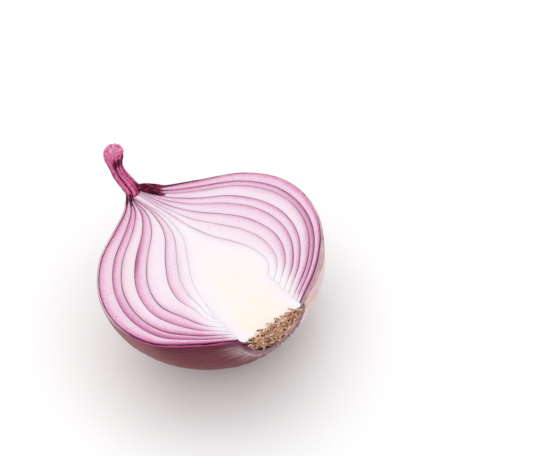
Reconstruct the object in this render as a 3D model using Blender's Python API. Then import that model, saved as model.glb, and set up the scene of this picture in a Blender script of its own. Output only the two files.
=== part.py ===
# A red onion cut in half from neck to root, lying on its round side with the cut face up.
#
# The bulb is described in its own terms: height runs from the root plane (0) up to the neck, and
# radius runs out from the bulb's axis, so the cut face is two outlines, one for each side of the
# axis. The scales are thick leaves, one inside another, and each of their surfaces is a blend of
# the outermost and the innermost outline. Below the cut face every outline is swept half a turn.
#
# World frame: +X from the neck to the root, +Y to the fuller side, +Z up, origin at the middle of
# the small flat spot that the onion rests on. Metres.
import math
import random

import bmesh
import bpy
from mathutils import Vector

MM = 0.001

# Outlines of the cut face, neck to root, as (height, radius) in millimetres.
FULL_SIDE_OUTER = (
    (70.0, 4.6), (65.3, 10.0), (60.3, 19.5), (53.5, 32.6), (44.0, 40.2),
    (33.0, 41.7), (21.0, 37.3), (10.0, 26.6), (1.2, 12.2),
)
FULL_SIDE_INNER = (
    (68.0, 1.6), (56.0, 3.9), (47.0, 5.8), (40.0, 8.6), (34.5, 12.0),
    (29.0, 14.7), (24.5, 15.7), (20.0, 15.0), (16.4, 12.2),
)
LEAN_SIDE_OUTER = (
    (69.0, 2.2), (65.3, 6.5), (61.5, 13.5), (54.6, 25.2), (44.0, 34.0),
    (31.5, 37.2), (19.5, 34.0), (10.6, 24.7), (2.2, 12.2),
)
LEAN_SIDE_INNER = (
    (68.0, 0.4), (56.0, -2.0), (46.0, -1.0), (37.0, 4.2), (31.5, 7.4),
    (26.5, 9.2), (22.0, 10.3), (18.0, 11.2), (15.0, 12.2),
)

# How far in from the outer to the inner outline each scale's inner face lies at the belly.
FULL_SIDE_STEPS = (0.0, 0.115, 0.195, 0.36, 0.475, 0.64, 0.81, 1.0)
LEAN_SIDE_STEPS = (0.0, 0.153, 0.247, 0.389, 0.53, 0.745, 0.88, 1.0)
SCALE_COUNT = len(FULL_SIDE_STEPS) - 1
FULL_SEAT_POWER = 1.25       # above 1, the outer scales sit closer together on the stem disc
LEAN_SEAT_POWER = 1.2
BELLY_SPREAD = 0.6           # below 1, the belly's spacing reaches nearer to neck and root

# The hidden side of the half.
DEPTH_RATIO = 0.88           # depth under the cut face over half the width of the face
DEPTH_POWER = 1.15           # above 1, the sides turn down more gently at the rim
ROOT_DRIFT = 4.0 * MM        # how far the deepest line lies towards the root
SIDE_DRIFT = 5.5 * MM        # and towards the fuller side
DRIFT_POWER = 1.4
DRIFT_FROM = 12.2 * MM       # radius at which the drift starts: the stem disc has none
DRIFT_FULL = 39.5 * MM       # radius at which it is whole

JOINT_GAP = 0.3 * MM         # clear space between one piece and the next
SKIN_THICKNESS = 0.65 * MM
FLAT_SAG = 1.1 * MM          # how much of the round underside the resting spot takes off
COLLAR_DROP = 0.6 * MM       # how far the dry skin reaches below the root plane
COLLAR_RADIUS = 11.2 * MM    # its inner radius there
FLESH_TOP = 66.2 * MM        # the scales end here and the dried neck starts

DISC_RADIUS = 11.75 * MM     # the stem disc that the scales grow from
DISC_FOOT_RADIUS = 10.4 * MM
DISC_BEVEL = 1.2 * MM

# The resting spot, in the bulb's own terms.
REST_HEIGHT = 29.4 * MM
REST_SIDE = 7.5 * MM

# The dried neck: middle points as (height, side, rise above the cut face) and radii, millimetres.
NECK_PATH = (
    (70.4, 2.2, -1.1), (74.5, 1.8, -0.5), (77.9, 1.3, 1.2), (79.9, 1.0, 4.2),
    (80.7, 0.9, 8.0), (80.9, 0.9, 11.2),
)
NECK_RADII = (2.8, 2.4, 2.3, 2.35, 2.6, 3.15)
NECK_FOOT = 1.8 * MM         # length of the foot that is still cut flat
NECK_TIP_RISE = 2.4 * MM
NECK_TIP_RATIO = 0.62

# The tuft of dry roots.
TUFT_HALF_WIDTH = 10.0 * MM
TUFT_DEPTH = 6.4 * MM
TUFT_PAD = 1.2 * MM
ROOTLET_COUNT = 64
ROOTLET_RADIUS = 0.62 * MM
ROOTLET_LENGTH = (0.9 * MM, 2.3 * MM)
ROOTLET_TAPER = 0.5          # its tip's radius over its root's
ROOTLET_BEND = 0.35          # how far the tip strays, over the length
ROOTLET_SINK = 0.55          # depth of its foot, over the mat's thickness
TUFT_EDGE = 0.93             # no root stands nearer to the mat's edge, over its half width
GOLDEN_STEP = 0.618034       # spreads the roots evenly over the mat
ROOTLET_SEED = 11

# Facets.
OUTLINE_SAMPLES = 240
OUTLINE_STEPS = 15
TURN_STEPS = 17
NECK_SIDES = 14
ROOTLET_SIDES = 4
ROOTLET_STEPS = 3

FULL_WAY = Vector((0, 1, 0))
ROOT_WAY = Vector((1, 0, 0))


def material(name, colour, roughness):
    """A plain Principled material in the piece's main colour."""
    finish = bpy.data.materials.new(name)
    finish.use_nodes = True
    shader = finish.node_tree.nodes["Principled BSDF"]
    shader.inputs["Base Color"].default_value = (*colour, 1.0)
    shader.inputs["Roughness"].default_value = roughness
    shader.inputs["Metallic"].default_value = 0.0
    return finish


def add_object(name, bm, finish):
    """Turn a bmesh into the named object, with its faces outward."""
    bmesh.ops.recalc_face_normals(bm, faces=bm.faces)
    mesh = bpy.data.meshes.new(name)
    bm.to_mesh(mesh)
    bm.free()
    mesh.materials.append(finish)
    mesh.shade_smooth()
    mesh.set_sharp_from_angle(angle=math.radians(50))
    obj = bpy.data.objects.new(name, mesh)
    bpy.context.scene.collection.objects.link(obj)
    return obj


def catmull_rom(points, position):
    """The smooth line through the points, at a position from 0 to 1."""
    first = points[0] * 2 - points[1]
    last = points[-1] * 2 - points[-2]
    padded = [first, *points, last]
    spans = len(points) - 1
    span = min(int(position * spans), spans - 1)
    t = position * spans - span
    a, b, c, d = padded[span:span + 4]
    bend = (2 * a - 5 * b + 4 * c - d) * t * t
    twist = (3 * b - a - 3 * c + d) * t * t * t
    return (2 * b + (c - a) * t + bend + twist) * 0.5


def in_metres(points):
    """Points given in millimetres, as vectors in metres."""
    return [Vector(point) * MM for point in points]


def boundary_line(number, full_side):
    """Face number 0 (outside of the flesh) to 7 (round the heart), neck to root."""
    if full_side:
        outer, inner = in_metres(FULL_SIDE_OUTER), in_metres(FULL_SIDE_INNER)
        at_belly, seat_power = FULL_SIDE_STEPS[number], FULL_SEAT_POWER
    else:
        outer, inner = in_metres(LEAN_SIDE_OUTER), in_metres(LEAN_SIDE_INNER)
        at_belly, seat_power = LEAN_SIDE_STEPS[number], LEAN_SEAT_POWER
    even = number / SCALE_COUNT
    line = []
    for i in range(OUTLINE_SAMPLES + 1):
        position = i / OUTLINE_SAMPLES
        belly_share = max(math.sin(math.pi * position), 0.0) ** BELLY_SPREAD
        at_end = even if position < 0.5 else even ** seat_power
        share = at_end * (1 - belly_share) + at_belly * belly_share
        outside = catmull_rom(outer, position)
        inside = catmull_rom(inner, position)
        line.append(outside * (1 - share) + inside * share)
    return line


def offset_line(line, distance):
    """Move a line out along its own normal; a negative distance moves it in."""
    moved = []
    for i, point in enumerate(line):
        along = (line[min(i + 1, len(line) - 1)] - line[max(i - 1, 0)]).normalized()
        moved.append(point + Vector((along.y, -along.x)) * distance)
    return moved


def trim_and_space(line, top, steps):
    """Start the line at the height top, and lay its points at even distances."""
    start = next(i for i, point in enumerate(line) if point.x <= top)
    before, after = line[start - 1], line[start]
    cut = before.lerp(after, (before.x - top) / (before.x - after.x))
    kept = [cut, *line[start:]]
    lengths = [0.0]
    for a, b in zip(kept, kept[1:]):
        lengths.append(lengths[-1] + (b - a).length)
    spaced = []
    j = 0
    for i in range(steps + 1):
        target = lengths[-1] * i / steps
        while j < len(kept) - 2 and lengths[j + 1] < target:
            j += 1
        share = (target - lengths[j]) / (lengths[j + 1] - lengths[j])
        spaced.append(kept[j].lerp(kept[j + 1], min(share, 1.0)))
    return spaced


def face_lines(number, distance, top=FLESH_TOP, steps=OUTLINE_STEPS):
    """Both sides of one face of a scale, moved out by a distance."""
    sides = []
    for full_side in (True, False):
        moved = offset_line(boundary_line(number, full_side), distance)
        sides.append(trim_and_space(moved, top, steps))
    return list(zip(*sides))


def bulb_point(full, lean, turn):
    """Sweep a pair of outline points below the cut face; turn is 0 on the full side."""
    middle = (full.x + lean.x) / 2
    slant = (full.x - lean.x) / 2
    centre = (full.y - lean.y) / 2
    radius = (full.y + lean.y) / 2
    drift = max(radius - DRIFT_FROM, 0.0) / (DRIFT_FULL - DRIFT_FROM)
    sine = max(math.sin(turn), 0.0)
    drift *= sine ** DRIFT_POWER
    height = middle + slant * math.cos(turn) - ROOT_DRIFT * drift
    side = centre + radius * math.cos(turn) + SIDE_DRIFT * drift
    depth = radius * DEPTH_RATIO * sine ** DEPTH_POWER
    return world(height, side, CUT_HEIGHT - depth)


def world(height, side, up):
    """The bulb's own terms as a point of the world."""
    return Vector((REST_HEIGHT - height, side - REST_SIDE, up))


def deepest_radius():
    """The widest half width of the dry skin."""
    skin = face_lines(0, JOINT_GAP / 2 + SKIN_THICKNESS)
    return max((full.y + lean.y) / 2 for full, lean in skin)


def add_sheet(bm, pairs, floor=None):
    """One face of a leaf, as joined rows of vertices from the neck to the root."""
    rows = []
    for full, lean in pairs:
        row = []
        for i in range(TURN_STEPS + 1):
            turn = math.pi * i / TURN_STEPS
            row.append(bm.verts.new(bulb_point(full, lean, turn)))
        rows.append(row)
    for row_a, row_b in zip(rows, rows[1:]):
        bridge(bm, row_a, row_b)
    if floor is not None:
        level_off(bm, rows, floor)
    return rows


def level_off(bm, rows, floor):
    """Cut a sheet off level at the floor, and close it with one flat face."""
    verts = [vert for row in rows for vert in row]
    edges = {edge for vert in verts for edge in vert.link_edges}
    faces = {face for vert in verts for face in vert.link_faces}
    cut = bmesh.ops.bisect_plane(
        bm, geom=[*verts, *edges, *faces], plane_co=(0, 0, floor), plane_no=(0, 0, 1),
        clear_inner=True,
    )
    rim = [part for part in cut["geom_cut"] if isinstance(part, bmesh.types.BMEdge)]
    bmesh.ops.contextual_create(bm, geom=rim)


def bridge(bm, row_a, row_b):
    """Quads between two rows of vertices."""
    for a, b, c, d in zip(row_a, row_a[1:], row_b[1:], row_b):
        bm.faces.new((a, b, c, d))


def half_shell(name, outer_pairs, inner_pairs, outer_floor, inner_floor, finish):
    """A leaf of the bulb: two faces, the two cut edges, the tip and the seat."""
    bm = bmesh.new()
    outer = add_sheet(bm, outer_pairs, outer_floor)
    inner = add_sheet(bm, inner_pairs, inner_floor)
    bridge(bm, outer[0], inner[0])
    bridge(bm, outer[-1], inner[-1])
    for edge in (0, -1):
        bridge(bm, [row[edge] for row in outer], [row[edge] for row in inner])
    return add_object(name, bm, finish)


def dry_skin():
    """The papery outer leaf: its end hugs the stem disc, and its underside has the resting spot."""
    finish = material("dry_skin", (0.33, 0.06, 0.15), 0.35)
    outside = face_lines(0, JOINT_GAP / 2 + SKIN_THICKNESS)
    inside = face_lines(0, JOINT_GAP / 2)
    outside.append((Vector((-COLLAR_DROP, COLLAR_RADIUS + SKIN_THICKNESS)),) * 2)
    inside.append((Vector((-COLLAR_DROP, COLLAR_RADIUS)),) * 2)
    return half_shell("dry_skin", outside, inside, 0.0, SKIN_THICKNESS, finish)


def fleshy_scale(number):
    """One thick leaf, between its outer face and its inner face."""
    name = f"scale_{number}"
    finish = material(name, (0.86, 0.70, 0.76), 0.3)
    outside = face_lines(number - 1, -JOINT_GAP / 2)
    inside = face_lines(number, JOINT_GAP / 2)
    resting = SKIN_THICKNESS + JOINT_GAP
    return half_shell(name, outside, inside, resting, None, finish)


def heart():
    """The innermost leaves and the stem disc that every scale grows from, as one piece."""
    finish = material("heart", (0.90, 0.86, 0.72), 0.3)
    pairs = face_lines(SCALE_COUNT, -JOINT_GAP / 2)
    seat_full, seat_lean = (point.x for point in pairs.pop())
    for share in (1.0, 0.5, 0.0):
        full_height = DISC_BEVEL + (seat_full - DISC_BEVEL) * share
        lean_height = DISC_BEVEL + (seat_lean - DISC_BEVEL) * share
        pairs.append((Vector((full_height, DISC_RADIUS)), Vector((lean_height, DISC_RADIUS))))
    pairs.append((Vector((0.0, DISC_FOOT_RADIUS)), Vector((0.0, DISC_FOOT_RADIUS))))
    bm = bmesh.new()
    rows = add_sheet(bm, pairs)
    for row in (rows[0], rows[-1]):
        middle = bm.verts.new((row[0].co + row[-1].co) / 2)
        for a, b in zip(row, row[1:]):
            bm.faces.new((middle, a, b))
        row.append(middle)
    for row_a, row_b in zip(rows, rows[1:]):
        face = [row_a[0], row_a[TURN_STEPS], row_b[TURN_STEPS], row_b[0]]
        if row_a is rows[0]:
            face.insert(1, row_a[-1])
        if row_b is rows[-1]:
            face.insert(3, row_b[-1])
        bm.faces.new(face)
    return add_object("heart", bm, finish)


def neck_base_ring(top):
    """The outline of the bulb's tip at one height: flat on the cut face, round below it."""
    pairs = face_lines(0, JOINT_GAP / 2 + SKIN_THICKNESS, top=top)
    full, lean = pairs[0]
    ring = []
    for i in range(NECK_SIDES):
        turn = 2 * math.pi * i / NECK_SIDES
        point = bulb_point(full, lean, turn)
        point.x = REST_HEIGHT - top
        if math.sin(turn) < 0:
            point.z = CUT_HEIGHT
        ring.append(point)
    return ring


def neck_rings():
    """Rings round the neck's path, the first lying in the plane where the path starts."""
    path = [world(h * MM, s * MM, CUT_HEIGHT + up * MM) for h, s, up in NECK_PATH]
    rings = []
    for i, (middle, radius) in enumerate(zip(path, NECK_RADII)):
        along = (path[min(i + 1, len(path) - 1)] - path[max(i - 1, 0)]).normalized()
        down = along.cross(FULL_WAY).normalized()
        across = down.cross(along)
        ring = []
        for j in range(NECK_SIDES):
            turn = 2 * math.pi * j / NECK_SIDES
            spoke = across * math.cos(turn) + down * math.sin(turn)
            ring.append(middle + spoke * radius * MM)
        rings.append(ring)
    tip = path[-1] + (path[-1] - path[-2]).normalized() * NECK_TIP_RISE
    last = rings[-1]
    rings.append([tip + (point - path[-1]) * NECK_TIP_RATIO for point in last])
    return rings


def neck():
    """The dried leaf bases, gathered on the bulb's tip and curling up at their end."""
    finish = material("neck", (0.52, 0.09, 0.24), 0.45)
    start = FLESH_TOP + JOINT_GAP
    rings = [neck_base_ring(start), neck_base_ring(start + NECK_FOOT), *neck_rings()]
    bm = bmesh.new()
    close_tube(bm, rings)
    return add_object("neck", bm, finish)


def close_tube(bm, rings):
    """Join rings of points to one closed tube with flat ends."""
    rows = [[bm.verts.new(point) for point in ring] for ring in rings]
    for row_a, row_b in zip(rows, rows[1:]):
        bridge(bm, row_a + row_a[:1], row_b + row_b[:1])
    bm.faces.new(rows[0])
    bm.faces.new(rows[-1])
    bmesh.ops.recalc_face_normals(bm, faces=bm.faces)


def rootlet(rng, start):
    """One short dry root, as a bent tapering bar that stays under the cut face."""
    length = rng.uniform(*ROOTLET_LENGTH)
    lean = Vector((0, rng.uniform(-0.45, 0.45), rng.uniform(-0.6, 0.15)))
    heading = (ROOT_WAY + lean).normalized()
    stray = Vector((rng.uniform(-0.2, 0.4), rng.uniform(-0.9, 0.9), rng.uniform(-0.9, 0.2)))
    side = heading.cross(Vector((0, 0, 1))).normalized()
    over = side.cross(heading)
    rings = []
    for i in range(ROOTLET_STEPS + 1):
        share = i / ROOTLET_STEPS
        middle = start + (heading + stray * ROOTLET_BEND * share) * length * share
        middle.z = min(middle.z, CUT_HEIGHT - ROOTLET_RADIUS)
        radius = ROOTLET_RADIUS * (1 + (ROOTLET_TAPER - 1) * share)
        ring = []
        for j in range(ROOTLET_SIDES):
            turn = 2 * math.pi * (j + 0.5) / ROOTLET_SIDES
            ring.append(middle + (side * math.cos(turn) + over * math.sin(turn)) * radius)
        rings.append(ring)
    bm = bmesh.new()
    close_tube(bm, rings)
    mesh = bpy.data.meshes.new("rootlet")
    bm.to_mesh(mesh)
    bm.free()
    return mesh


def tuft_mat():
    """The mat that the roots stand on: half an ellipse under the stem disc."""
    rings = []
    for height in (-JOINT_GAP, -JOINT_GAP - TUFT_PAD):
        ring = []
        for i in range(TURN_STEPS + 1):
            turn = math.pi * i / TURN_STEPS
            side = TUFT_HALF_WIDTH * math.cos(turn)
            ring.append(world(height, side, CUT_HEIGHT - TUFT_DEPTH * math.sin(turn)))
        rings.append(ring)
    bm = bmesh.new()
    close_tube(bm, rings)
    return bm


def root_tuft():
    """The tuft of dry roots: a mat, and short roots sunk into it, joined to one body."""
    finish = material("root_tuft", (0.52, 0.34, 0.18), 0.85)
    tuft = add_object("root_tuft", tuft_mat(), finish)
    rng = random.Random(ROOTLET_SEED)
    roots = bpy.data.collections.new("rootlets")
    for i in range(ROOTLET_COUNT):
        reach = min(math.sqrt((i + 0.5) / ROOTLET_COUNT), TUFT_EDGE)
        turn = math.pi * ((i * GOLDEN_STEP + rng.uniform(-0.03, 0.03)) % 1.0)
        side = TUFT_HALF_WIDTH * reach * math.cos(turn)
        below = max(TUFT_DEPTH * reach * math.sin(turn), ROOTLET_RADIUS)
        start = world(-JOINT_GAP - TUFT_PAD * ROOTLET_SINK, side, CUT_HEIGHT - below)
        roots.objects.link(bpy.data.objects.new("rootlet", rootlet(rng, start)))
    union = tuft.modifiers.new("roots", "BOOLEAN")
    union.operation = "UNION"
    union.operand_type = "COLLECTION"
    union.collection = roots
    union.solver = "MANIFOLD"
    depsgraph = bpy.context.evaluated_depsgraph_get()
    joined = bpy.data.meshes.new_from_object(tuft.evaluated_get(depsgraph))
    tuft.modifiers.remove(union)
    tuft.data = joined
    for piece in list(roots.objects):
        bpy.data.objects.remove(piece)
    bpy.data.collections.remove(roots)
    return tuft


for old in list(bpy.data.objects):
    bpy.data.objects.remove(old)

CUT_HEIGHT = deepest_radius() * DEPTH_RATIO - FLAT_SAG

dry_skin()
for scale_number in range(1, SCALE_COUNT + 1):
    fleshy_scale(scale_number)
heart()
neck()
root_tuft()
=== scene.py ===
# %% [markdown]
# # Half a red onion
#
# The onion was cut from neck to root and lies on its round side, so its cut face looks up. What
# makes it an onion is all on that face: thick leaves, called scales, one inside another, each
# with a thin purple skin on its outer side. This file builds the half as a botanist would draw
# it, from the outlines of the cut face, and then gives every piece its finish.

# %% Load the fixed frame
import math

import bmesh
import bpy
import numpy as np
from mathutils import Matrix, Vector, noise

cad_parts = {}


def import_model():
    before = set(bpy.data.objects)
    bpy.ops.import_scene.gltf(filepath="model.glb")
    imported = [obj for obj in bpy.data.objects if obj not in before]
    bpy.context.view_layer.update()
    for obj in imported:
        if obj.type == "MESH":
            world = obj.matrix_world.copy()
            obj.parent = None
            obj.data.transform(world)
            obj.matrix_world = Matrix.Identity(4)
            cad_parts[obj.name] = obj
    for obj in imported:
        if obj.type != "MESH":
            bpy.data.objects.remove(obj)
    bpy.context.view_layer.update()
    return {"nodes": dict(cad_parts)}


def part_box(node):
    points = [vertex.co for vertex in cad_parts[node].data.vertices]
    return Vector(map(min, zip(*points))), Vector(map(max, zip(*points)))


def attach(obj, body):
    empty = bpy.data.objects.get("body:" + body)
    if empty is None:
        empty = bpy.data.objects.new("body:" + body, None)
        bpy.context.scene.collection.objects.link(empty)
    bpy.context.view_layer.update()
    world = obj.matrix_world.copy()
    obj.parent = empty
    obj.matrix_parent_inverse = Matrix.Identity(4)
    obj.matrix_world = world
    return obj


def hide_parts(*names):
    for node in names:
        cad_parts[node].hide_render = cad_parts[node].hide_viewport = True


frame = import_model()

MM = 0.001
print("nodes:", ", ".join(sorted(frame["nodes"])))

# %% [markdown]
# ## The outlines of the cut face
#
# A bulb is close to round, so two numbers place a point of its cut face: the height above the root
# plane, and the radius from the bulb's axis. The face isn't symmetrical. One side is fuller than
# the other, so each has an outermost outline, where the flesh ends, and an innermost one, round the
# pale heart. A few points carry each outline, and a smooth curve runs through them. A few points
# are easier to correct than a long list. STEPS tells how far each face between two scales lies from
# the outermost outline to the innermost, at the belly.

# %% Outlines as (height, radius) in millimetres, from neck to root
OUTER = {
    "full": ((70.0, 4.6), (65.3, 10.0), (60.3, 19.5), (53.5, 32.6), (44.0, 40.2),
             (33.0, 41.7), (21.0, 37.3), (10.0, 26.6), (1.2, 12.05)),
    "lean": ((69.0, 2.2), (65.3, 6.5), (61.5, 13.5), (54.6, 25.2), (44.0, 34.0),
             (31.5, 37.2), (19.5, 34.0), (10.6, 24.7), (2.2, 12.05)),
}
INNER = {
    "full": ((68.0, 1.6), (56.0, 3.9), (47.0, 5.8), (40.0, 8.6), (34.5, 12.0),
             (29.0, 14.7), (24.5, 15.7), (20.0, 15.0), (16.4, 12.05)),
    "lean": ((68.0, 0.4), (56.0, -2.0), (46.0, -1.0), (37.0, 4.2), (31.5, 7.4),
             (26.5, 9.2), (22.0, 10.3), (18.0, 11.2), (15.0, 12.05)),
}
SIDES = ("full", "lean")
STEPS = {
    "full": (0.0, 0.115, 0.195, 0.36, 0.475, 0.64, 0.81, 1.0),
    "lean": (0.0, 0.153, 0.247, 0.389, 0.53, 0.745, 0.88, 1.0),
}
SEAT_POWER = {"full": 1.25, "lean": 1.2}
LOW_BEND = {"full": (0.0,) * 8, "lean": (0.0, 0.0, 0.01, 0.05, 0.08, 0.07, 0.03, 0.0)}
BEND_PLACE, BEND_REACH = 0.78, 0.1
BELLY_SPREAD = 0.6
SCALES = len(STEPS["full"]) - 1
ROWS = 170


def smooth_curve(points, count):
    """Evenly numbered points on the smooth curve through a few given ones."""
    knots = np.array(points, float)
    padded = np.vstack([2 * knots[0] - knots[1], knots, 2 * knots[-1] - knots[-2]])
    place = np.linspace(0, len(knots) - 1, count)
    span = np.minimum(place.astype(int), len(knots) - 2)
    t = (place - span)[:, None]
    a, b, c, d = (padded[span + i] for i in range(4))
    bend = (2 * a - 5 * b + 4 * c - d) * t ** 2
    twist = (3 * b - a - 3 * c + d) * t ** 3
    return (2 * b + (c - a) * t + bend + twist) / 2


print("widest half of the fuller side, mm:", smooth_curve(OUTER["full"], ROWS)[:, 1].max().round(1))

# %% [markdown]
# ## The faces between the scales
#
# Each face between two scales is a blend of the outermost and the innermost outline. The share of
# the blend differs from scale to scale, because real scales differ in thickness, and it differs
# between the belly and the ends, because scales taper to the neck and crowd together on the stem
# disc. A knife's cut through living tissue is never ruled, so each line also wanders a little. The
# wander is a function of the face alone, so the two scales that share a face never collide.

# %% One face, as a line on the cut face
WANDER = 0.16
WANDER_WAVES = ((5.0, 0.6), (11.0, 0.3), (23.0, 0.16))
PHASE_STEP = 1.7
SIDE_PHASE = {"full": 0.9, "lean": 4.1}


def ease(values, low, high):
    """A smooth step from 0 at low to 1 at high."""
    t = np.clip((np.asarray(values, float) - low) / (high - low), 0, 1)
    return t * t * (3 - 2 * t)


def wander(number, side, position):
    """A small slow wave in millimetres, different for each face and side, still at both ends."""
    phase = PHASE_STEP * number + SIDE_PHASE[side]
    waves = sum(size * np.sin(pace * position + phase * (1 + i))
                for i, (pace, size) in enumerate(WANDER_WAVES))
    return WANDER * waves * ease(position, 0.03, 0.2) * (1 - ease(position, 0.75, 0.95))


def face_line(number, side, distance=0.0):
    """Face number 0 (outside of the flesh) to 7 (round the heart), moved out by a distance."""
    position = np.linspace(0, 1, ROWS)
    belly = np.sin(np.pi * position).clip(0) ** BELLY_SPREAD
    even = number / SCALES
    at_end = np.where(position < 0.5, even, even ** SEAT_POWER[side])
    bend = LOW_BEND[side][number] * np.exp(-((position - BEND_PLACE) / BEND_REACH) ** 2)
    share = (at_end * (1 - belly) + STEPS[side][number] * belly + bend)[:, None]
    line = smooth_curve(OUTER[side], ROWS) * (1 - share)
    line += smooth_curve(INNER[side], ROWS) * share
    along = np.gradient(line, axis=0)
    along /= np.linalg.norm(along, axis=1)[:, None]
    outward = np.stack([along[:, 1], -along[:, 0]], 1)
    moved = distance + wander(number, side, position)
    return line + outward * np.broadcast_to(moved, ROWS)[:, None]


def even_rows(line):
    """The same line with its points at even distances."""
    steps = np.linalg.norm(np.diff(line, axis=0), axis=1)
    lengths = np.concatenate([[0], np.cumsum(steps)])
    wanted = np.linspace(0, lengths[-1], ROWS)
    return np.stack([np.interp(wanted, lengths, line[:, i]) for i in (0, 1)], 1)


for number in (0, 3, 7):
    print("face", number, "starts at", face_line(number, "full")[0].round(1), "mm")

# %% [markdown]
# ## From the cut face down to the round side
#
# Below the cut face the bulb is round, so every pair of outline points is swept half a turn, from
# the fuller side to the leaner one. The half is a little shallower than half of its width, and its
# deepest line lies off the axis, as in a bulb that grew crooked. All of it is placed so that the
# flat spot that the onion rests on is at the origin.

# %% Sweep a pair of lines
DEPTH_RATIO = 0.88
DEPTH_POWER = 1.15
ROOT_DRIFT = 4.0
SIDE_DRIFT = 5.5
DRIFT_POWER = 1.4
DRIFT_FROM = 12.2
DRIFT_FULL = 39.5
REST_HEIGHT = 29.4
REST_SIDE = 7.5
CUT_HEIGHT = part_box("heart")[1][2] / MM


def world(height, side, up):
    """The bulb's own terms, in millimetres, as points of the world, in metres."""
    height, side, up = np.broadcast_arrays(height, side, up)
    return np.stack([REST_HEIGHT - height, side - REST_SIDE, up], -1) * MM


def half_circles(full, lean, turns):
    """Height, side and radius of each row's half circle, from a pair of lines."""
    cosine = np.cos(turns)[None]
    middle, slant = (full[:, :1] + lean[:, :1]) / 2, (full[:, :1] - lean[:, :1]) / 2
    centre, radius = (full[:, 1:] - lean[:, 1:]) / 2, (full[:, 1:] + lean[:, 1:]) / 2
    return middle + slant * cosine, centre + radius * cosine, radius


def sweep(full, lean, turns):
    """Rows of points under the cut face: turn 0 is the fuller side, half a turn the leaner."""
    height, side, radius = half_circles(full, lean, turns)
    sine = np.sin(turns).clip(0)[None]
    drift = (radius - DRIFT_FROM).clip(0) / (DRIFT_FULL - DRIFT_FROM) * sine ** DRIFT_POWER
    below = radius * DEPTH_RATIO * sine ** DEPTH_POWER
    return world(height - ROOT_DRIFT * drift, side + SIDE_DRIFT * drift, CUT_HEIGHT - below)


print("the cut face lies", round(CUT_HEIGHT, 2), "mm above the board")

# %% [markdown]
# ## One way to make every leaf
#
# A scale is a bent block: rows from neck to root, turns from one cut edge to the other, and layers
# from its outer to its inner face. Only the block's surface is kept. Numbering the block's points
# once, and building all six sides from those numbers, closes every seam by itself. The same numbers
# carry what the finish needs to know, such as how far a point lies from the leaf's purple side.
# They are stored on the mesh as attributes, and the material reads them by name.

# %% Build a block's surface
SHARP_ANGLE = math.radians(48)
WELD = 2e-6


def block_quads(shape):
    """Quads on the six sides of a block of rows, turns and layers."""
    ids = np.arange(np.prod(shape)).reshape(shape)
    sides = (ids[:, :, 0], ids[:, :, -1], ids[:, 0], ids[:, -1], ids[0], ids[-1])
    quads = [np.stack([s[:-1, :-1], s[1:, :-1], s[1:, 1:], s[:-1, 1:]], -1).reshape(-1, 4)
             for s in sides]
    return np.concatenate(quads)


def mesh_piece(name, points, faces, finish, attributes):
    """A closed, smooth piece with its faces outward, from points and faces."""
    mesh = bpy.data.meshes.new(name)
    mesh.from_pydata(points.tolist(), [], list(map(tuple, faces)))
    for label, values in attributes.items():
        layer = mesh.attributes.new(label, "FLOAT", "POINT")
        layer.data.foreach_set("value", np.ascontiguousarray(values, "f").ravel())
    bm = bmesh.new()
    bm.from_mesh(mesh)
    bmesh.ops.remove_doubles(bm, verts=bm.verts, dist=WELD)
    bmesh.ops.recalc_face_normals(bm, faces=bm.faces)
    bm.to_mesh(mesh)
    bm.free()
    mesh.shade_smooth()
    mesh.set_sharp_from_angle(angle=SHARP_ANGLE)
    mesh.materials.append(finish)
    piece = bpy.data.objects.new(name, mesh)
    bpy.context.scene.collection.objects.link(piece)
    return piece


def block_piece(name, lattice, finish, attributes):
    """The surface of a block of points as a piece; the points inside it are dropped."""
    shape = lattice.shape[:3]
    quads = block_quads(shape)
    used, flat = np.unique(quads, return_inverse=True)
    points = lattice.reshape(-1, 3)[used]
    kept = {label: np.broadcast_to(values, shape).reshape(-1)[used]
            for label, values in attributes.items()}
    return mesh_piece(name, points, flat.reshape(-1, 4).tolist(), finish, kept)


def report(piece):
    """Print how large a piece is."""
    along = [vertex.co.x / MM for vertex in piece.data.vertices]
    triangles = sum(len(face.vertices) - 2 for face in piece.data.polygons)
    print(piece.name, "has", triangles, "triangles and reaches from x", round(min(along), 1),
          "to", round(max(along), 1), "mm")


print("a block of 3 x 3 x 3 points has", len(block_quads((3, 3, 3))), "outside faces")

# %% [markdown]
# ## Words for finishes
#
# A node material is easier to read when each step of it is one short call. These helpers add a
# node, link what is a socket, and set what is a plain value. Colours are given as they look on a
# screen, from 0 to 255, and turned into the linear values that the renderer computes with.

# %% Small helpers for materials
LIGHT = 1.2
DIM_PART = 0.04045


def seen(red, green, blue):
    """The paint that looks like this screen colour where the studio's light falls on it."""
    values = [value / 255 for value in (red, green, blue)]
    linear = [v / 12.92 if v <= DIM_PART else ((v + 0.055) / 1.055) ** 2.4 for v in values]
    return (*(value / LIGHT for value in linear), 1.0)


def put(tree, kind, values=None, **settings):
    """Add a node; values are its inputs, by name or number, as sockets or plain values."""
    made = tree.nodes.new(kind)
    for label, setting in settings.items():
        setattr(made, label, setting)
    for socket, value in (values or {}).items():
        if isinstance(value, bpy.types.NodeSocket):
            tree.links.new(value, made.inputs[socket])
        else:
            made.inputs[socket].default_value = value
    return made


def calc(tree, operation, first, second=0.5, third=0.5):
    """One sum of two or three values."""
    values = {0: first, 1: second, 2: third}
    return put(tree, "ShaderNodeMath", values, operation=operation).outputs[0]


def remap(tree, value, low, high, to_low=0.0, to_high=1.0):
    """Turn the range low..high into another, with a soft start and end."""
    values = {"Value": value, "From Min": low, "From Max": high,
              "To Min": to_low, "To Max": to_high}
    made = put(tree, "ShaderNodeMapRange", values, interpolation_type="SMOOTHSTEP", clamp=True)
    return made.outputs["Result"]


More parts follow.
